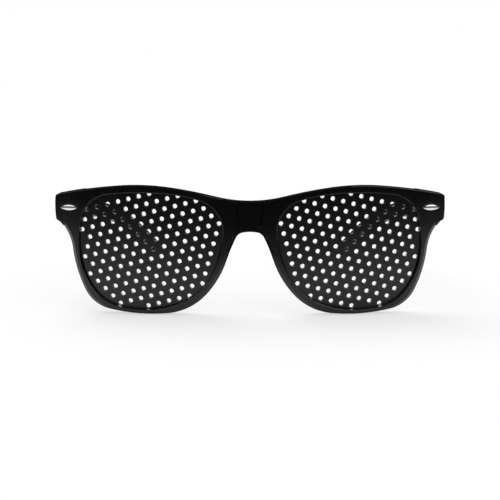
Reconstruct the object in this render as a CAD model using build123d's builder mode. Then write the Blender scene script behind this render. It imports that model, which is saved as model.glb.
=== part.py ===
from build123d import *
from math import asin, atan2, ceil, cos, degrees, hypot, radians, sin, sqrt, tan
import os

# Pinhole glasses: a moulded front with two plates full of pinholes, and two
# temples that fold on three-knuckle hinges. Lengths are millimetres and angles degrees.
# The wearer looks along -Y and +Z is up, so the wearer's left is +X. The glasses stand
# open on a table at Z zero, centred on X and Y. Paired pieces are built on the left
# and mirrored to the right.

# Front moulding
front_width = 146.0
front_height = 48.7
front_depth = 5.0
front_curve_radius = 380.0
bridge_width = 20.4
brow_rim = 2.7
bottom_rim = 1.95
temporal_rim = 8.9
end_piece_width = 10.5
end_piece_height = 13.4
end_piece_slant = 2.2
end_piece_depth = 13.0
outline_corner = 1.3
front_edge_bevel = 1.2

# Plate in the groove round its aperture
plate_thickness = 1.2
plate_wrap = 5.6
plate_setback = 2.4
groove_engagement = 0.9
plate_play = 0.05

# Pinhole lattice, nearly hexagonal, its rows rising towards the nose
pinhole_pitch = 4.06
pinhole_row_gap = 3.41
pinhole_stagger_share = 0.487
pinhole_width = 1.7
pinhole_sides = 6
pinhole_row_angle = 14.5
pinhole_first_out = -8.93
pinhole_first_up = 2.93
pinhole_edge_margin = 0.3

# Bridge panel and nose pads
panel_top_width = 10.5
panel_foot_width = 7.2
panel_from_top = 6.4
panel_height = 8.4
panel_depth = 0.35
pad_height = 12.0
pad_width = 2.4
pad_reach = 4.4
pad_draft = 8.0
pad_tilt = 27.0
pad_from_bridge = 2.8
pad_up_share = 0.33
pad_seat = 0.3

# Inlay on each end piece, held by two posts that also hold the hinge leaf
inlay_length = 6.6
inlay_height = 2.0
inlay_from_side = 5.4
inlay_from_top = 8.4
inlay_proud = 0.35
inlay_sunk = 0.5
inlay_crown_radius = 2.2
post_radius = 0.5
post_spacing = 3.4
fixing_play = 0.03

# Hinge
knuckle_radius = 1.7
knuckle_height = 2.2
knuckle_count = 3
knuckle_play = 0.1
hinge_gap = 0.3
leaf_thickness = 0.8
leaf_corner = 0.6
front_leaf_width = 7.0
temple_leaf_length = 11.0
temple_leaf_height = 3.4
screw_radius = 0.7
screw_play = 0.04
screw_head_radius = 1.25
screw_head_height = 0.55
screw_slot_width = 0.35
screw_slot_depth = 0.3
rivet_radius = 0.55
rivet_length = 3.1
rivet_spacing = 4.2
rivet_first = 4.5

# Temple
temple_reach = 131.0
temple_thickness = 4.2
temple_side_inset = 0.3
temple_straight = 14.0
temple_sweep = 20.9
temple_thinning = 0.65
temple_butt_height = 9.0
temple_arm_height = 6.4
temple_slope = 8.4
temple_bend_from = 57.0
temple_edge_bevel = 0.7

# One overrun serves every cut
overrun = 1.0

# A quarter turn sets a slot upright
quarter_turn = 90.0

# Where the arcs of the left half's outline meet, from the middle outwards, as shares of
# the half width and of the height: along the brow, and round the nose arch and the rim
brow_shares = [(0.0, 0.883), (0.175, 0.9147), (0.4072, 0.9817), (0.6727, 0.9938), (0.996, 0.9278)]
end_side_share = (1.0, 0.832)
rim_shares = [
    (0.0, 0.656), (0.0389, 0.65), (0.07, 0.6135), (0.119, 0.4321), (0.2275, 0.1592),
    (0.4234, 0.0134), (0.7299, 0.0386), (0.8563, 0.1893), (0.9157, 0.5104),
    (0.9734, 0.7115), (0.9966, 0.731),
]

# The line that parts the rim's bevelled edge from the sharp edge of the rest
bevel_stop_shares = [(-0.015, 0.51), (0.134, 0.651), (0.134, 0.84), (0.835, 0.84), (1.05, 0.575)]

# Where the arcs of the left aperture meet, as shares of its half width and half height:
# up the temporal side from the foot, and down the nasal side from the top
temporal_shares = [
    (0.1013, -1.0), (0.468, -0.9491), (0.7844, -0.7059), (0.952, -0.3057),
    (0.9654, 0.5456), (0.5831, 0.9646), (0.1195, 1.0),
]
nasal_shares = [
    (0.1195, 1.0), (-0.3284, 0.969), (-0.6879, 0.8758), (-1.0, 0.2919),
    (-0.8414, -0.3821), (-0.4668, -0.8395), (0.1013, -1.0),
]

# Places that follow from the sizes above
half_width = front_width / 2
butt_back = end_piece_depth + hinge_gap
front_y = -(butt_back + temple_reach) / 2
rim_back_y = front_y + front_depth
end_back_y = front_y + end_piece_depth
butt_y = front_y + butt_back
tip_y = butt_y + temple_reach
back_curve_radius = front_curve_radius - front_depth
aperture_width = half_width - bridge_width / 2 - temporal_rim
aperture_height = front_height - brow_rim - bottom_rim
aperture_x = (bridge_width + aperture_width) / 2
aperture_z = bottom_rim + aperture_height / 2
inlay_out = half_width - inlay_from_side
inlay_up = front_height - inlay_from_top
pad_out = bridge_width / 2 + pad_from_bridge
pad_up = pad_up_share * front_height
panel_top_up = front_height - panel_from_top
end_piece_inner = half_width - end_piece_width
end_piece_floor = front_height - end_piece_height
temple_outer_x = half_width - temple_side_inset
temple_inner_x = temple_outer_x - temple_thickness
axis_x = temple_inner_x - hinge_gap - knuckle_radius
axis_y = butt_y + knuckle_radius
hinge_height = knuckle_count * knuckle_height
hinge_foot = inlay_up - hinge_height / 2
post_places = [(inlay_out - post_spacing / 2, inlay_up), (inlay_out + post_spacing / 2, inlay_up)]
rivet_places = [
    (butt_y + rivet_first, inlay_up),
    (butt_y + rivet_first + rivet_spacing, inlay_up),
]


def skin_y(x):
    """Where the curved front face is at this X."""
    return front_y + front_curve_radius - sqrt(front_curve_radius**2 - x**2)


def wrapped_plane(out, up, setback, turn):
    """A plane that faces forwards and outwards, this far behind the front face."""
    return Plane(
        origin=(out, skin_y(out) + setback, up),
        x_dir=(cos(turn), sin(turn), 0),
        z_dir=(sin(turn), -cos(turn), 0),
    )


def facing_plane(y):
    """The upright plane at this Y, drawn as the front is seen: X across, Z up."""
    return Plane.XZ.offset(-y)


def from_table(shares, width, height):
    """Table points in real sizes."""
    return [(across * width, along * height) for across, along in shares]


def arc_chain(points, heading):
    """Arcs from point to point, each tangent to the one before."""
    arcs = []
    for start, end in zip(points, points[1:]):
        arcs.append(TangentArc(start, end, tangent=heading))
        heading = arcs[-1] % 1
    return arcs


def mirror_twin(piece):
    """The same piece on the right."""
    return mirror(piece, about=Plane.YZ, mode=Mode.PRIVATE)


def write_pair(piece, name):
    """Write the left piece and its mirror image on the right."""
    for side, body in (("left", piece), ("right", mirror_twin(piece))):
        body.label = f"{name}_{side}"
        export_step(body, f"parts/{name}_{side}.step")


def aperture_outline(grow):
    """The left aperture's face about its own centre, grown outwards."""
    half_size = (aperture_width / 2 + grow, aperture_height / 2 + grow)
    with BuildSketch(Plane.XY) as outline:
        with BuildLine():
            arc_chain(from_table(temporal_shares, *half_size), (1, 0))
            arc_chain(from_table(nasal_shares, *half_size), (-1, 0))
        make_face()
    return outline.sketch


def almond(length, height):
    """The inlay's outline, two arcs that meet in a point at each end."""
    with BuildSketch(Plane.XY) as shape:
        with BuildLine():
            ThreePointArc((-length / 2, 0), (0, height / 2), (length / 2, 0))
            ThreePointArc((length / 2, 0), (0, -height / 2), (-length / 2, 0))
        make_face()
    return shape.sketch


def is_inside(across, up, outline):
    """True where a point lies inside the straight-sided outline."""
    hits = 0
    for (ax, az), (bx, bz) in zip(outline, outline[1:] + outline[:1]):
        if (az > up) != (bz > up):
            hits += across < ax + (up - az) / (bz - az) * (bx - ax)
    return hits % 2 == 1


def pinhole_places():
    """Lattice points of the left plate that its visible outline holds."""
    outline = from_table(
        temporal_shares + nasal_shares[1:-1],
        aperture_width / 2 - pinhole_edge_margin,
        aperture_height / 2 - pinhole_edge_margin,
    )
    slope = radians(pinhole_row_angle)
    reach = ceil((aperture_width + aperture_height) / pinhole_row_gap)
    places = []
    for i in range(-reach, reach + 1):
        for j in range(-reach, reach + 1):
            along = (i + j * pinhole_stagger_share) * pinhole_pitch
            above = j * pinhole_row_gap
            across = pinhole_first_out - along * cos(slope) + above * sin(slope)
            up = pinhole_first_up + along * sin(slope) + above * cos(slope)
            if is_inside(across, up, outline):
                places.append((across, up))
    return places


os.makedirs("parts", exist_ok=True)
plate_plane = wrapped_plane(aperture_x, aperture_z, plate_setback, radians(plate_wrap))
inlay_plane = wrapped_plane(inlay_out, inlay_up, 0, asin(inlay_out / front_curve_radius))

# Outline of the left half of the front, drawn upright
with BuildSketch(Plane.XY) as front_outline:
    with BuildLine():
        brow = from_table(brow_shares, half_width, front_height)
        rim = from_table(rim_shares, half_width, front_height)
        side = (end_side_share[0] * half_width, end_side_share[1] * front_height)
        arc_chain(brow, (1, 0))
        arc_chain(rim, (1, 0))
        ThreePointArc(brow[-1], side, rim[-1])
        Line(rim[0], brow[0])
    make_face()
    fillet(front_outline.vertices().sort_by(Axis.X)[-2:], radius=outline_corner)

# Plan of the left half of the curved moulding
with BuildSketch(Plane.XY.offset(-overrun)) as moulding_plan:
    with Locations((0, front_y + front_curve_radius)):
        Circle(front_curve_radius)
        Circle(back_curve_radius, mode=Mode.SUBTRACT)
    with Locations((half_width / 2, front_y)):
        Rectangle(half_width + 2 * overrun, 2 * end_piece_depth, mode=Mode.INTERSECT)

# Plan of the thicker block behind the end piece, flat at its back for the hinge leaf
with BuildSketch(Plane.XY.offset(end_piece_floor)) as end_block_plan:
    with BuildLine():
        Polyline(
            (end_piece_inner - end_piece_slant, rim_back_y),
            (end_piece_inner, end_back_y),
            (half_width + overrun, end_back_y),
            (half_width + overrun, rim_back_y),
            close=True,
        )
    make_face()
    with Locations((0, front_y + front_curve_radius)):
        Circle(back_curve_radius + front_depth / 2, mode=Mode.INTERSECT)

# Bridge panel, a shallow tapered recess
panel_corners = [
    (-panel_top_width / 2, panel_top_up),
    (panel_top_width / 2, panel_top_up),
    (panel_foot_width / 2, panel_top_up - panel_height),
    (-panel_foot_width / 2, panel_top_up - panel_height),
]
with BuildSketch(facing_plane(front_y + panel_depth)) as bridge_panel:
    with BuildLine():
        Polyline(*panel_corners, close=True)
    make_face()

# Seats of the hinge leaf, the inlay and the inlay's posts
with BuildPart() as fixing_cuts:
    with BuildSketch(facing_plane(end_back_y + overrun)):
        with Locations((inlay_out, inlay_up)):
            Rectangle(front_leaf_width + 2 * fixing_play, hinge_height + 2 * fixing_play)
    extrude(amount=leaf_thickness + fixing_play + overrun)
    with BuildSketch(facing_plane(end_back_y)):
        with Locations(*post_places):
            Circle(post_radius + fixing_play)
    extrude(amount=end_piece_depth)
    extrude(
        inlay_plane.offset(-inlay_sunk)
        * almond(inlay_length + 2 * fixing_play, inlay_height + 2 * fixing_play),
        amount=inlay_sunk + overrun,
    )

# Left half of the moulding: the outline cut from the curved slab and its end block
with BuildPart() as front_blank:
    extrude(moulding_plan.sketch, amount=front_height + 2 * overrun)
    extrude(end_block_plan.sketch, amount=front_height - end_piece_floor)
    extrude(facing_plane(front_y) * front_outline.sketch, amount=-end_piece_depth, mode=Mode.INTERSECT)

# The nose arch, the brow and the end piece keep a sharp front edge
bevel_stops = from_table(bevel_stop_shares, half_width, front_height)
with BuildSketch(facing_plane(front_y - overrun)) as sharp_zone:
    with BuildLine():
        Polyline(
            *bevel_stops,
            (bevel_stops[-1][0], front_height + overrun),
            (bevel_stops[0][0], front_height + overrun),
            close=True,
        )
    make_face()
zone_depth = end_piece_depth + 2 * overrun
with BuildPart() as sharp_share:
    add(front_blank.part)
    extrude(sharp_zone.sketch, amount=-zone_depth, mode=Mode.INTERSECT)

with BuildPart() as front_half:
    add(front_blank.part)
    extrude(sharp_zone.sketch, amount=-zone_depth, mode=Mode.SUBTRACT)

    # Bevelled outer edge of the rim's front face, from the end piece down to the nose arch
    skin = front_half.faces().filter_by(GeomType.CYLINDER).sort_by(SortBy.AREA)[-1]
    bevel_walls = [(across + fixing_play, up - fixing_play) for across, up in bevel_stops]
    bevel_walls += [(bevel_stops[-1][0], front_height), (bevel_stops[0][0], front_height)]
    chamfer(
        [
            edge
            for edge in skin.outer_wire().edges()
            if not is_inside(edge.center().X, edge.center().Z, bevel_walls)
        ],
        length=front_edge_bevel,
    )
    add(sharp_share.part)
    aperture_face = Pos(aperture_x, front_y, aperture_z) * (Plane.XZ * aperture_outline(0))
    extrude(aperture_face, amount=-end_piece_depth, mode=Mode.SUBTRACT)
    extrude(bridge_panel.sketch, amount=panel_depth + overrun, mode=Mode.SUBTRACT)

    # Nose pad, moulded on the back of the rim
    with BuildSketch(facing_plane(rim_back_y - pad_seat)):
        with Locations((pad_out, pad_up)):
            SlotOverall(pad_height, pad_width, rotation=pad_tilt + quarter_turn)
    extrude(amount=-pad_seat - pad_reach, taper=pad_draft)

    # Groove for the plate
    extrude(
        plate_plane.offset(plate_play) * aperture_outline(groove_engagement + plate_play),
        amount=-plate_thickness - 2 * plate_play,
        mode=Mode.SUBTRACT,
    )
    add(fixing_cuts.part, mode=Mode.SUBTRACT)

# Front moulding, in one piece
with BuildPart() as front_frame:
    add(front_half.part)
    add(mirror_twin(front_half.part))
front_frame.part.label = "front_frame"
export_step(front_frame.part, "parts/front_frame.step")

# Pinhole plate: a flat plate with straight pinholes, its edge in the groove
with BuildPart() as pinhole_plate:
    extrude(plate_plane * aperture_outline(groove_engagement), amount=-plate_thickness)
    with BuildSketch(plate_plane.offset(overrun)):
        with Locations(*pinhole_places()):
            RegularPolygon(pinhole_width / 2, pinhole_sides, rotation=pinhole_row_angle)
    extrude(amount=-plate_thickness - 2 * overrun, mode=Mode.SUBTRACT)
write_pair(pinhole_plate.part, "pinhole_plate")

# Inlay: a crowned almond with two posts through the end piece and the hinge leaf
with BuildPart() as crowned_almond:
    extrude(
        inlay_plane.offset(-inlay_sunk) * almond(inlay_length, inlay_height),
        amount=inlay_sunk + inlay_proud,
    )
    with Locations(inlay_plane.offset(inlay_proud - inlay_crown_radius)):
        Cylinder(inlay_crown_radius, 2 * inlay_length, rotation=(0, quarter_turn, 0), mode=Mode.INTERSECT)

with BuildPart() as front_inlay:
    with BuildSketch(facing_plane(end_back_y)):
        with Locations(*post_places):
            Circle(post_radius)
    extrude(amount=end_piece_depth)
    split(bisect_by=inlay_plane, keep=Keep.BOTTOM)
    add(crowned_almond.part)
write_pair(front_inlay.part, "front_inlay")

# Front half of the hinge: a leaf let into the end piece, with the outer knuckles
with BuildPart() as front_hinge:
    with BuildSketch(facing_plane(end_back_y)):
        with Locations((inlay_out, inlay_up)):
            RectangleRounded(front_leaf_width, hinge_height, leaf_corner)
        with Locations(*post_places):
            Circle(post_radius + fixing_play, mode=Mode.SUBTRACT)
    extrude(amount=leaf_thickness)
    for level in range(0, knuckle_count, 2):
        with BuildSketch(Plane.XY.offset(hinge_foot + level * knuckle_height)):
            with Locations((axis_x, axis_y)):
                Circle(knuckle_radius)
            with Locations((axis_x, (end_back_y - leaf_thickness + axis_y) / 2)):
                Rectangle(2 * knuckle_radius, axis_y - end_back_y + leaf_thickness)
        extrude(amount=knuckle_height)
    with Locations((axis_x, axis_y, inlay_up)):
        Cylinder(screw_radius + fixing_play, hinge_height + overrun, mode=Mode.SUBTRACT)
write_pair(front_hinge.part, "front_hinge")

# Temple half of the hinge: a leaf let into the temple, with the middle knuckle
with BuildPart() as temple_hinge:
    with BuildSketch(Plane.YZ.offset(temple_inner_x)):
        with Locations((butt_y + temple_leaf_length / 2, inlay_up)):
            Rectangle(temple_leaf_length, temple_leaf_height)
        with Locations(*rivet_places):
            Circle(rivet_radius + fixing_play, mode=Mode.SUBTRACT)
    extrude(amount=leaf_thickness)
    for level in range(1, knuckle_count, 2):
        with BuildSketch(Plane.XY.offset(hinge_foot + level * knuckle_height + knuckle_play)):
            with Locations((axis_x, axis_y)):
                Circle(knuckle_radius)
            with Locations(((axis_x + temple_inner_x + leaf_thickness) / 2, axis_y)):
                Rectangle(temple_inner_x + leaf_thickness - axis_x, 2 * knuckle_radius)
        extrude(amount=knuckle_height - 2 * knuckle_play)
    with Locations((axis_x, axis_y, inlay_up)):
        Cylinder(screw_radius + screw_play, hinge_height + overrun, mode=Mode.SUBTRACT)
write_pair(temple_hinge.part, "temple_hinge")

# Hinge screw: a slotted head above the knuckles and a shank through all of them
with BuildPart() as hinge_screw:
    with BuildSketch(Plane.XY.offset(hinge_foot)):
        with Locations((axis_x, axis_y)):
            Circle(screw_radius)
    extrude(amount=hinge_height)
    with BuildSketch(Plane.XY.offset(hinge_foot + hinge_height)):
        with Locations((axis_x, axis_y)):
            Circle(screw_head_radius)
    extrude(amount=screw_head_height)
    slot_floor = hinge_foot + hinge_height + screw_head_height - screw_slot_depth
    with BuildSketch(Plane.XY.offset(slot_floor)):
        with Locations((axis_x, axis_y)):
            Rectangle(screw_slot_width, 2 * screw_head_radius + overrun)
    extrude(amount=screw_slot_depth + overrun, mode=Mode.SUBTRACT)
write_pair(hinge_screw.part, "hinge_screw")

# Rivets that hold the hinge leaf in the temple
with BuildPart() as temple_rivets:
    with BuildSketch(Plane.YZ.offset(temple_inner_x)):
        with Locations(*rivet_places):
            Circle(rivet_radius)
    extrude(amount=rivet_length)
write_pair(temple_rivets.part, "temple_rivets")

# Temple seen from the side: straight from the hinge, then one arc down to the round tip
tip_radius = temple_arm_height / 2
first_slope = radians(temple_slope)
bend_run = temple_reach - tip_radius - temple_bend_from
bend_fall = inlay_up - tip_radius - temple_bend_from * tan(first_slope)
chord_slope = atan2(bend_fall, bend_run)
last_slope = 2 * chord_slope - first_slope
bend_radius = hypot(bend_run, bend_fall) / (2 * sin(chord_slope - first_slope))
bend_centre = (
    tip_y - tip_radius - bend_radius * sin(last_slope),
    tip_radius - bend_radius * cos(last_slope),
)


def bend_point(slope, lift):
    """A point of the bend where the temple has this slope, lifted off its middle line."""
    reach = bend_radius + lift
    return (bend_centre[0] + reach * sin(slope), bend_centre[1] + reach * cos(slope))


middle_slope = (first_slope + last_slope) / 2
tip_middle = bend_point(last_slope, 0)
tip_end = (
    tip_middle[0] + tip_radius * cos(last_slope),
    tip_middle[1] - tip_radius * sin(last_slope),
)
with BuildSketch(Plane.YZ.offset(temple_inner_x - temple_sweep - overrun)) as temple_side:
    with BuildLine():
        butt_top = (butt_y, inlay_up + temple_butt_height / 2)
        butt_foot = (butt_y, inlay_up - temple_butt_height / 2)
        upper = [bend_point(slope, tip_radius) for slope in (first_slope, middle_slope, last_slope)]
        lower = [bend_point(slope, -tip_radius) for slope in (first_slope, middle_slope, last_slope)]
        Line(butt_top, upper[0])
        ThreePointArc(*upper)
        ThreePointArc(upper[-1], tip_end, lower[-1])
        ThreePointArc(*reversed(lower))
        Line(lower[0], butt_foot)
        Line(butt_foot, butt_top)
    make_face()

# Temple seen from above: straight at the hinge, then sweeping inwards and thinning
sweep_length = temple_reach - temple_straight
with BuildSketch(Plane.XY.offset(-overrun)) as temple_plan:
    with BuildLine():
        far_ends = []
        for start_x, sweep in (
            (temple_outer_x, temple_sweep + temple_thinning),
            (temple_inner_x, temple_sweep),
        ):
            radius = (sweep_length**2 + sweep**2) / (2 * sweep)
            turn = degrees(asin((sweep_length + overrun) / radius))
            knee = (start_x, butt_y + temple_straight)
            Line((start_x, butt_y), knee)
            arc = JernArc(knee, (0, 1), radius, turn)
            far_ends.append(arc @ 1)
        Line(*far_ends)
        Line((temple_outer_x, butt_y), (temple_inner_x, butt_y))
    make_face()

with BuildPart() as temple:
    extrude(temple_side.sketch, amount=temple_sweep + temple_thickness + 2 * overrun)
    extrude(temple_plan.sketch, amount=front_height + 2 * overrun, mode=Mode.INTERSECT)
    behind_butt = butt_y + temple_edge_bevel
    long_edges = [edge for edge in temple.edges() if edge.center().Y > behind_butt]
    chamfer(long_edges, length=temple_edge_bevel)
    with BuildSketch(Plane.YZ.offset(temple_inner_x - overrun)):
        with Locations((butt_y + temple_leaf_length / 2, inlay_up)):
            Rectangle(temple_leaf_length + 2 * fixing_play, temple_leaf_height + 2 * fixing_play)
    extrude(amount=leaf_thickness + fixing_play + overrun, mode=Mode.SUBTRACT)
    with BuildSketch(Plane.YZ.offset(temple_inner_x)):
        with Locations(*rivet_places):
            Circle(rivet_radius + fixing_play)
    extrude(amount=rivet_length + fixing_play, mode=Mode.SUBTRACT)
write_pair(temple.part, "temple")
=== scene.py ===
import math

import bmesh
import bpy
from mathutils import Matrix, Vector


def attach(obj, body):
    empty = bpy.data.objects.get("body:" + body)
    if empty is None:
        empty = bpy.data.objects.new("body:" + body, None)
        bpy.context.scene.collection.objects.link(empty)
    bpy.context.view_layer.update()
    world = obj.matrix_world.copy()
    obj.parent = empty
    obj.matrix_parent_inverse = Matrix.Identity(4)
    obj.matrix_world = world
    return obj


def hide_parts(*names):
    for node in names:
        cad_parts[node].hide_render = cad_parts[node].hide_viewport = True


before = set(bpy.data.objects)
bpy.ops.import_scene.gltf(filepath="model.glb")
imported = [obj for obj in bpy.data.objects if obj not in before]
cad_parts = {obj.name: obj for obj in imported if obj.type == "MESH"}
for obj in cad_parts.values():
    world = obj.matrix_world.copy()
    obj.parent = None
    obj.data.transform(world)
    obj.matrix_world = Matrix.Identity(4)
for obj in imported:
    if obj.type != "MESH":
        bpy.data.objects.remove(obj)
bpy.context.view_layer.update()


# Front moulding. One injection-moulded piece of gloss black plastic: brow, two rims,
# bridge, end pieces and nose pads, with a groove round each aperture for its plate. It
# comes from a polished mould, so it has only faint flow waves and a light haze of handling.
class Shade:
    """A value in a finish's nodes: arithmetic on it adds Math nodes."""

    def __init__(self, finish, output):
        self.finish = finish
        self.output = output

    def maths(self, operation, *values):
        return self.finish.node("ShaderNodeMath", {"operation": operation}, dict(enumerate(values)))

    def __add__(self, other):
        return self.maths("ADD", self, other)

    def __radd__(self, other):
        return self.maths("ADD", other, self)

    def __sub__(self, other):
        return self.maths("SUBTRACT", self, other)

    def __rsub__(self, other):
        return self.maths("SUBTRACT", other, self)

    def __mul__(self, other):
        return self.maths("MULTIPLY", self, other)

    def __rmul__(self, other):
        return self.maths("MULTIPLY", other, self)

    def __abs__(self):
        return self.maths("ABSOLUTE", self)


class Finish:
    """The nodes of one material, or of the studio's world."""

    def __init__(self, holder, shader_name="Principled BSDF"):
        self.holder = holder
        holder.use_nodes = True
        self.tree = holder.node_tree
        self.shader = self.tree.nodes[shader_name]

    def plug(self, socket, value):
        if isinstance(value, Shade):
            self.tree.links.new(value.output, socket)
        else:
            socket.default_value = value

    def node(self, kind, settings, inputs, output=0):
        """Add a node, with a ramp's stops as places and greys, and return one of its outputs."""
        made = self.tree.nodes.new(kind)
        for setting, value in settings.items():
            if setting == "stops":
                ramp = made.color_ramp.elements
                while len(ramp) < len(value):
                    ramp.new(1.0)
                for stop, (place, grey) in zip(ramp, value):
                    stop.position = place
                    stop.color = (grey, grey, grey, 1.0)
            else:
                setattr(made, setting, value)
        for socket, value in inputs.items():
            self.plug(made.inputs[socket], value)
        return Shade(self, made.outputs[output])

    def places(self):
        return self.node("ShaderNodeTexCoord", {}, {}, "Object")

    def noise(self, size, detail, scales=(1.0, 1.0, 1.0)):
        """Noise with features of about this size, in metres, longer where an axis is scaled down."""
        spread = self.node("ShaderNodeMapping", {}, {"Vector": self.places(), "Scale": scales})
        return self.node(
            "ShaderNodeTexNoise", {}, {"Vector": spread, "Scale": 1.0 / size, "Detail": detail}
        )

    def mix(self, share, first, second):
        return self.node(
            "ShaderNodeMix",
            {"data_type": "RGBA"},
            {"Factor": share, "A": (*first, 1.0), "B": (*second, 1.0)},
            "Result",
        )

    def bump(self, height, depth):
        return self.node("ShaderNodeBump", {}, {"Height": height, "Distance": depth, "Strength": 1.0})

    def wear(self, **sockets):
        """Plug values into the shader's sockets, named with _ for a space."""
        for name, value in sockets.items():
            self.plug(self.shader.inputs[name.replace("_", " ")], value)
        return self.holder


def moulded_gloss(name, haze):
    """Polished black plastic: slow flow waves, a fine haze and a few faint smears."""
    deep_black, pale_black = (0.0016, 0.0016, 0.0017), (0.0028, 0.0028, 0.0030)
    flow_size, smear_size, grain_size = 0.014, 0.006, 0.0004
    smear_haze, grain_haze = 0.05, 0.02
    grain_height, wave_depth = 0.02, 0.00003
    finish = Finish(bpy.data.materials.new(name))
    flow = finish.noise(flow_size, detail=3.0)
    smear = finish.noise(smear_size, detail=4.0, scales=(1.0, 1.0, 0.35))
    grain = finish.noise(grain_size, detail=2.0)
    return finish.wear(
        Base_Color=finish.mix(flow, deep_black, pale_black),
        Roughness=haze + smear_haze * smear + grain_haze * grain,
        Normal=finish.bump(flow + grain_height * grain, wave_depth),
    )


weld = 1e-6
moulded_crease = 24.0


def welded(shape, distance=weld):
    """A mesh's form for editing, with the corners that its faces share made one."""
    form = bmesh.new()
    form.from_mesh(shape)
    bmesh.ops.remove_doubles(form, verts=form.verts, dist=distance)
    return form


def smooth_shading(shape, crease):
    """Shade smoothly, except over edges that turn by more than this many degrees."""
    shape.shade_smooth()
    shape.set_sharp_from_angle(angle=math.radians(crease))


def set_down(name, data):
    """Put a mesh, curve, lamp or camera in the scene under this name."""
    thing = bpy.data.objects.new(name, data)
    bpy.context.scene.collection.objects.link(thing)
    return thing


def smooth_copy(name, node, crease):
    """A copy of a CAD node, welded, that shades smoothly between its sharp edges."""
    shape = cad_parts[node].data.copy()
    shape.name = name
    form = welded(shape)
    form.to_mesh(shape)
    form.free()
    shape.materials.clear()
    for attribute in ("custom_normal", "sharp_face"):
        if attribute in shape.attributes:
            shape.attributes.remove(shape.attributes[attribute])
    smooth_shading(shape, crease)
    return set_down(name, shape)


def soften(piece, wanted, size, steps):
    """Bevel the edges where the front skin meets a wall behind it, if the test wants them."""
    skin_facing, wall_facing = -0.9, 0.2
    form = bmesh.new()
    form.from_mesh(piece.data)
    form.normal_update()
    chosen = []
    for edge in form.edges:
        if len(edge.link_faces) == 2:
            skin, wall = sorted(edge.link_faces, key=lambda face: face.normal.y)
            if skin.normal.y < skin_facing and abs(wall.normal.y) < wall_facing:
                middle = (edge.verts[0].co + edge.verts[1].co) / 2
                if wanted(middle, wall.normal):
                    chosen.append(edge)
    bmesh.ops.bevel(
        form, geom=chosen, offset=size, segments=steps, profile=0.5, affect="EDGES", material=-1
    )
    form.to_mesh(piece.data)
    form.free()
    smooth_shading(piece.data, moulded_crease)


front_black = moulded_gloss("front_gloss_black", haze=0.02)
front_moulding = smooth_copy("front_moulding", "front_frame", moulded_crease)
front_moulding.data.materials.append(front_black)
aperture_middle = Vector((0.03715, 0.0, 0.023975))
panel_reach = 0.0062
panel_floor = 0.0325
panel_side_facing = 0.9
brow_floor = 0.04
brow_top_facing = 0.8
lip_round = 0.00042
panel_round = 0.0003
brow_round = 0.00025


def on_lip(middle, outwards):
    """An aperture's wall faces the aperture's middle."""
    side = math.copysign(1.0, middle.x)
    across = Vector((abs(middle.x), 0.0, middle.z)) - aperture_middle
    faces_middle = across.x * side * outwards.x + across.z * outwards.z < 0
    return faces_middle and abs(middle.x) > panel_reach


def on_panel(middle, outwards):
    """The sunk bridge panel's two sides face left and right."""
    in_panel = abs(middle.x) < panel_reach and middle.z > panel_floor
    return in_panel and abs(outwards.x) > panel_side_facing


def on_brow(middle, outwards):
    """The brow's top faces up."""
    return middle.z > brow_floor and outwards.z > brow_top_facing


soften(front_moulding, on_lip, lip_round, 4)
soften(front_moulding, on_panel, panel_round, 2)
soften(front_moulding, on_brow, brow_round, 1)
# The large faces set the shading, so that the skin reflects evenly up to its rounded edges
even = front_moulding.modifiers.new("even", "WEIGHTED_NORMAL")
even.weight = 100
even.keep_sharp = True
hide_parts("front_frame")
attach(front_moulding, "front")


# Pinhole plates. Each is a flat sheet of black plastic with a close lattice of tapered
# holes, moulded with them and snapped into the groove round its aperture. The holes are
# a little wider at the front, and the lattice rises towards the nose on both sides.
plate_thickness = 0.0012
plate_turn = math.radians(5.6)
plate_middle = Vector((0.03715, -0.06793, 0.023975))
plate_crease = 30.0
hole_pitch = 0.00406
hole_row_gap = 0.00341
hole_stagger = 0.487 * hole_pitch
hole_row_slope = math.radians(14.5)
hole_first = Vector((-0.00893, 0.00293))
hole_mouth = 0.00093
hole_core = 0.00080
hole_wall = 0.00018
hole_sides = 20
mouth_rounding = 0.00004
lattice_reach = 24


def plate_matrix(side):
    """From flat plate coordinates to its place: across, up, and out of the front face."""
    across = Vector((math.cos(plate_turn), math.sin(plate_turn), 0.0))
    outwards = Vector((math.sin(plate_turn), -math.cos(plate_turn), 0.0))
    turned = Matrix((across, Vector((0.0, 0.0, 1.0)), outwards)).transposed().to_4x4()
    return Matrix.Diagonal((side, 1.0, 1.0, 1.0)) @ Matrix.Translation(plate_middle) @ turned


def plate_edge():
    """The left CAD plate's outline, point by point, in flat plate coordinates."""
    front_facing = 0.9
    form = welded(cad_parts["pinhole_plate_left"].data)
    form.transform(plate_matrix(1.0).inverted())
    form.normal_update()
    rims = [
        edge
        for edge in form.edges
        if sorted(face.normal.z > front_facing for face in edge.link_faces) == [False, True]
    ]
    followers = {}
    for edge in rims:
        for vert, other in (edge.verts, reversed(edge.verts)):
            followers.setdefault(vert, []).append(other)
    outermost = max(followers, key=lambda vert: vert.co.x)
    loop = [outermost, followers[outermost][0]]
    while loop[-1] is not outermost:
        onward = [vert for vert in followers[loop[-1]] if vert is not loop[-2]]
        loop.append(onward[0])
    edge_points = [vert.co.xy.copy() for vert in loop[:-1]]
    form.free()
    return edge_points


def clearance(point, outline):
    """How far a point lies inside the outline, negative outside it."""
    crossings = 0
    nearest = math.inf
    for start, end in zip(outline, outline[1:] + outline[:1]):
        run = end - start
        share = min(1.0, max(0.0, (point - start).dot(run) / run.length_squared))
        nearest = min(nearest, (start + share * run - point).length)
        if (start.y > point.y) != (end.y > point.y):
            crossings += point.x < start.x + (point.y - start.y) / run.y * run.x
    return nearest if crossings % 2 else -nearest


def ring(centre, radius, sides):
    return [
        centre + radius * Vector((math.cos(turn), math.sin(turn)))
        for turn in (math.tau * step / sides for step in range(sides))
    ]


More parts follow.
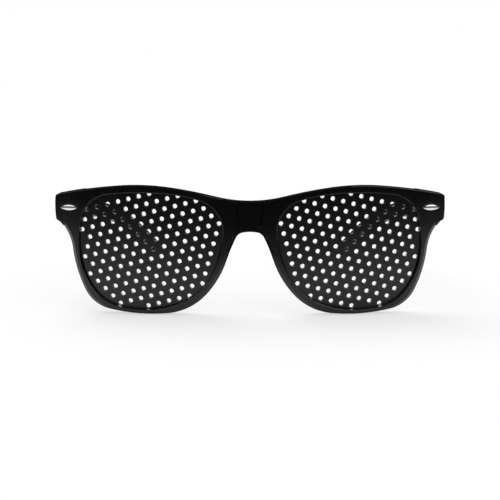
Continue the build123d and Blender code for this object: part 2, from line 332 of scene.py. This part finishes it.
outline = plate_edge()
along_row = Vector((-math.cos(hole_row_slope), math.sin(hole_row_slope)))
above_row = Vector((math.sin(hole_row_slope), math.cos(hole_row_slope)))
row_step = hole_pitch * along_row
stack_step = hole_stagger * along_row + hole_row_gap * above_row
counts = range(-lattice_reach, lattice_reach + 1)
lattice = [hole_first + i * row_step + j * stack_step for i in counts for j in counts]
hole_centres = [place for place in lattice if clearance(place, outline) > hole_mouth + hole_wall]

# The plate starts as a flat drawing: its edge, with a ring for each hole. The rounding at
# the faces grows outwards from what is drawn, and the offset takes that back
drawing = bpy.data.curves.new("plate_drawing", "CURVE")
drawing.dimensions = "2D"
drawing.fill_mode = "BOTH"
drawing.extrude = plate_thickness / 2 - mouth_rounding
drawing.bevel_depth = mouth_rounding
drawing.bevel_resolution = 0
drawing.offset = -mouth_rounding
for points in [outline] + [ring(centre, hole_core, hole_sides) for centre in hole_centres]:
    spline = drawing.splines.new("POLY")
    spline.points.add(len(points) - 1)
    spline.use_cyclic_u = True
    for knot, point in zip(spline.points, points):
        knot.co = (point.x, point.y, 0.0, 1.0)
drawn = set_down("plate_drawing", drawing)
bpy.context.view_layer.update()
flat_plate = bpy.data.meshes.new_from_object(drawn.evaluated_get(bpy.context.evaluated_depsgraph_get()))
bpy.data.objects.remove(drawn)
bpy.data.curves.remove(drawing)


def satin_sheet(name):
    """Black sheet plastic: a soft sheen with a fine moulded grain and faint cloudiness."""
    deep_black, pale_black = (0.0014, 0.0014, 0.0015), (0.0030, 0.0030, 0.0032)
    cloud_size, grain_size = 0.008, 0.00035
    sheen_haze, cloud_haze, grain_haze = 0.13, 0.08, 0.06
    cloud_height, grain_depth = 0.3, 0.000012
    finish = Finish(bpy.data.materials.new(name))
    cloud = finish.noise(cloud_size, detail=3.0)
    grain = finish.noise(grain_size, detail=3.0)
    return finish.wear(
        Base_Color=finish.mix(cloud, deep_black, pale_black),
        Roughness=sheen_haze + cloud_haze * cloud + grain_haze * grain,
        Normal=finish.bump(cloud_height * cloud + grain, grain_depth),
    )


plate_black = satin_sheet("plate_satin_black")
fine_weld = 1e-7
mouth_taper = hole_mouth / hole_core
for side_name, side in (("left", 1.0), ("right", -1.0)):
    plate_mesh = flat_plate.copy()
    plate_mesh.name = f"drilled_plate_{side_name}"
    form = welded(plate_mesh, fine_weld)
    # The front mouth of each hole opens out into a taper
    for vert in form.verts:
        if vert.co.z > 0:
            near = min(hole_centres, key=lambda centre: (centre - vert.co.xy).length)
            if (near - vert.co.xy).length < hole_core + hole_wall / 2:
                vert.co.xy = near + mouth_taper * (vert.co.xy - near)
    bmesh.ops.translate(form, verts=form.verts, vec=(0.0, 0.0, -plate_thickness / 2))
    form.transform(plate_matrix(side))
    bmesh.ops.recalc_face_normals(form, faces=form.faces)
    form.to_mesh(plate_mesh)
    form.free()
    plate_mesh.materials.clear()
    plate_mesh.materials.append(plate_black)
    smooth_shading(plate_mesh, plate_crease)
    plate = set_down(plate_mesh.name, plate_mesh)
    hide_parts(f"pinhole_plate_{side_name}")
    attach(plate, "front")


# Inlays. On each end piece sits a polished almond of plated metal, crowned along its
# length. Its two posts pass through the plastic and hold the hinge leaf behind.
def polished_metal(name, colour, haze):
    """Bright plating: nearly mirror-like, with hairline polishing marks."""
    hair_size, tarnish_size = 0.00012, 0.002
    hair_haze, hair_depth, tarnish_share = 0.05, 0.000001, 0.86
    finish = Finish(bpy.data.materials.new(name))
    hair = finish.noise(hair_size, detail=2.0, scales=(0.15, 1.0, 1.0))
    tarnish = finish.noise(tarnish_size, detail=2.0)
    tarnished = tuple(tarnish_share * part for part in colour)
    return finish.wear(
        Base_Color=finish.mix(tarnish, colour, tarnished),
        Metallic=1.0,
        Roughness=haze + hair_haze * hair,
        Normal=finish.bump(hair, hair_depth),
    )


inlay_metal = polished_metal("inlay_bright_metal", (0.97, 0.97, 0.96), haze=0.02)
metal_crease = 30.0
for side_name in ("left", "right"):
    inlay = smooth_copy(f"inlay_{side_name}", f"front_inlay_{side_name}", metal_crease)
    inlay.data.materials.append(inlay_metal)
    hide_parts(f"front_inlay_{side_name}")
    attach(inlay, "front")


# Hinges. Three interleaved knuckles of stamped steel on each side: two on the front's
# leaf and one on the temple's, turning on a slotted screw. Both leaves are let in flush.
def brushed_steel(name, brush_scales):
    """Plain steel, dulled a little and unevenly, brushed along the axis of least scale."""
    clean_steel, dull_steel = (0.52, 0.52, 0.51), (0.40, 0.40, 0.39)
    brush_size, stain_size = 0.00015, 0.003
    steel_haze, brush_haze, stain_haze = 0.24, 0.14, 0.06
    brush_depth = 0.000003
    finish = Finish(bpy.data.materials.new(name))
    brush = finish.noise(brush_size, detail=3.0, scales=brush_scales)
    stain = finish.noise(stain_size, detail=3.0)
    return finish.wear(
        Base_Color=finish.mix(stain, clean_steel, dull_steel),
        Metallic=1.0,
        Roughness=steel_haze + brush_haze * brush + stain_haze * stain,
        Normal=finish.bump(brush, brush_depth),
    )


leaf_steel = brushed_steel("hinge_brushed_steel", (1.0, 1.0, 0.08))
screw_steel = brushed_steel("screw_turned_steel", (0.4, 0.4, 1.0))
for side_name in ("left", "right"):
    for piece_name, node, body, steel in (
        ("front_leaf", "front_hinge", "front", leaf_steel),
        ("temple_leaf", "temple_hinge", f"temple_{side_name}", leaf_steel),
        ("hinge_pin", "hinge_screw", "front", screw_steel),
    ):
        metal_piece = smooth_copy(f"{piece_name}_{side_name}", f"{node}_{side_name}", metal_crease)
        metal_piece.data.materials.append(steel)
        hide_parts(f"{node}_{side_name}")
        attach(metal_piece, body)


# Temples. Each is a bar of the same gloss black plastic, a little more handled, straight
# at the hinge, then bent inwards and down to a round tip behind the ear. Two steel rivets
# hold its hinge leaf.
temple_black = moulded_gloss("temple_gloss_black", haze=0.03)
for side_name in ("left", "right"):
    arm = smooth_copy(f"arm_{side_name}", f"temple_{side_name}", moulded_crease)
    arm.data.materials.append(temple_black)
    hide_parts(f"temple_{side_name}")
    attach(arm, f"temple_{side_name}")
    rivets = smooth_copy(f"rivets_{side_name}", f"temple_rivets_{side_name}", metal_crease)
    rivets.data.materials.append(screw_steel)
    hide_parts(f"temple_rivets_{side_name}")
    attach(rivets, f"temple_{side_name}")


# Stage: a matt white table that fades into a white studio. In the glasses' gloss it carries a
# painted pool of light: bright close to the front and out at its sides, and painted dark ahead
# of it and behind it, as white paper looks under a lamp in a darker room.
floor_half = 6.0
floor_form = bmesh.new()
bmesh.ops.create_grid(floor_form, x_segments=1, y_segments=1, size=floor_half)
floor_mesh = bpy.data.meshes.new("table_top")
floor_form.to_mesh(floor_mesh)
floor_form.free()
floor = set_down("table_top", floor_mesh)
paper_white = (0.93, 0.93, 0.93, 1.0)
paper = Finish(bpy.data.materials.new("table_white"))
paper.wear(Base_Color=paper_white, Roughness=0.9, Specular_IOR_Level=0.0)


def ray(finish, kind):
    """1 for this kind of ray, 0 for the others."""
    return finish.node("ShaderNodeLightPath", {}, {}, f"Is {kind} Ray")


def along(finish, axis, places):
    return finish.node("ShaderNodeSeparateXYZ", {}, {"Vector": places}, axis)


front_distance = 0.072
fade_length = 0.5
side_brightness = 0.45
shine_over_fade = [(0.0, 0.9), (0.12, 0.68), (0.25, 0.24), (0.45, 0.06), (0.7, 0.03), (1.0, 0.02)]
# Painted light on the table: a ramp by distance ahead of the front and to its sides, shown only in the
# gloss
aside = abs(along(paper, "X", paper.places()))
ahead = abs(along(paper, "Y", paper.places()) + front_distance)
painted_shine = paper.node(
    "ShaderNodeValToRGB",
    {"stops": shine_over_fade},
    {"Fac": (ahead - side_brightness * aside) * (1 / fade_length)},
)
# The camera sees the table mostly as plain white, and the rest keeps the glasses' shadow
white_share = 0.6
dark = paper.node("ShaderNodeEmission", {}, {"Color": (0, 0, 0, 1)})
white = paper.node("ShaderNodeEmission", {}, {"Color": (1, 1, 1, 1)})
lit = Shade(paper, paper.shader.outputs[0])
# In the gloss the lit table is mixed towards black by the painted shine, so its reflection carries a
# painted falloff
shone = paper.node("ShaderNodeMixShader", {}, {0: ray(paper, "Glossy") * (1 - painted_shine), 1: lit, 2: dark})
seen = ray(paper, "Camera") * white_share
shown = paper.node("ShaderNodeMixShader", {}, {0: seen, 1: shone, 2: white})
paper.tree.links.new(shown.output, paper.tree.nodes["Material Output"].inputs["Surface"])
floor_mesh.materials.append(paper.holder)

# The room is white to the camera. In the gloss it is a bright band from a little above
# the horizon to two thirds of the way up, with dark below and above it
room_level = 0.58
gloss_over_rise = [(0.0, 0.01), (0.15, 0.02), (0.28, 0.9), (0.4, 1.0), (0.8, 1.0), (0.93, 0.06)]
world = bpy.data.worlds.new("studio")
bpy.context.scene.world = world
studio = Finish(world, "Background")
rise = along(studio, "Z", studio.node("ShaderNodeTexCoord", {}, {}, "Generated"))
band = studio.node("ShaderNodeValToRGB", {"stops": gloss_over_rise}, {"Fac": rise})
clear = ray(studio, "Camera") + ray(studio, "Transmission")
glossy = ray(studio, "Glossy")
studio.wear(Strength=clear + glossy * band + (1 - clear - glossy) * room_level, Color=(1, 1, 1, 1))

# Two wide soft lamps overhead, the key from behind on the camera's left and the fill from
# in front on its right
for lamp_name, power, spread, tilt in (
    ("key", 1.5, 50.0, (-28.0, -24.0, 0.0)),
    ("fill", 0.62, 60.0, (20.0, 36.0, 0.0)),
):
    lamp_data = bpy.data.lights.new(lamp_name, "SUN")
    lamp_data.energy = power
    lamp_data.angle = math.radians(spread)
    lamp = set_down(lamp_name, lamp_data)
    lamp.rotation_euler = [math.radians(degrees) for degrees in tilt]

# Camera, a little above the glasses and square to them
eye = Vector((0.0, -0.39365, 0.0787))
aim = Vector((0.0, -0.07215, 0.0252))
camera_data = bpy.data.cameras.new("camera")
camera_data.sensor_width = 36.0
camera_data.lens = 63.48
camera_data.clip_start = 0.01
camera = set_down("camera", camera_data)
camera.location = eye
camera.rotation_euler = (aim - eye).to_track_quat("-Z", "Y").to_euler()
bpy.context.scene.camera = camera
bpy.context.scene.view_settings.view_transform = "Standard"
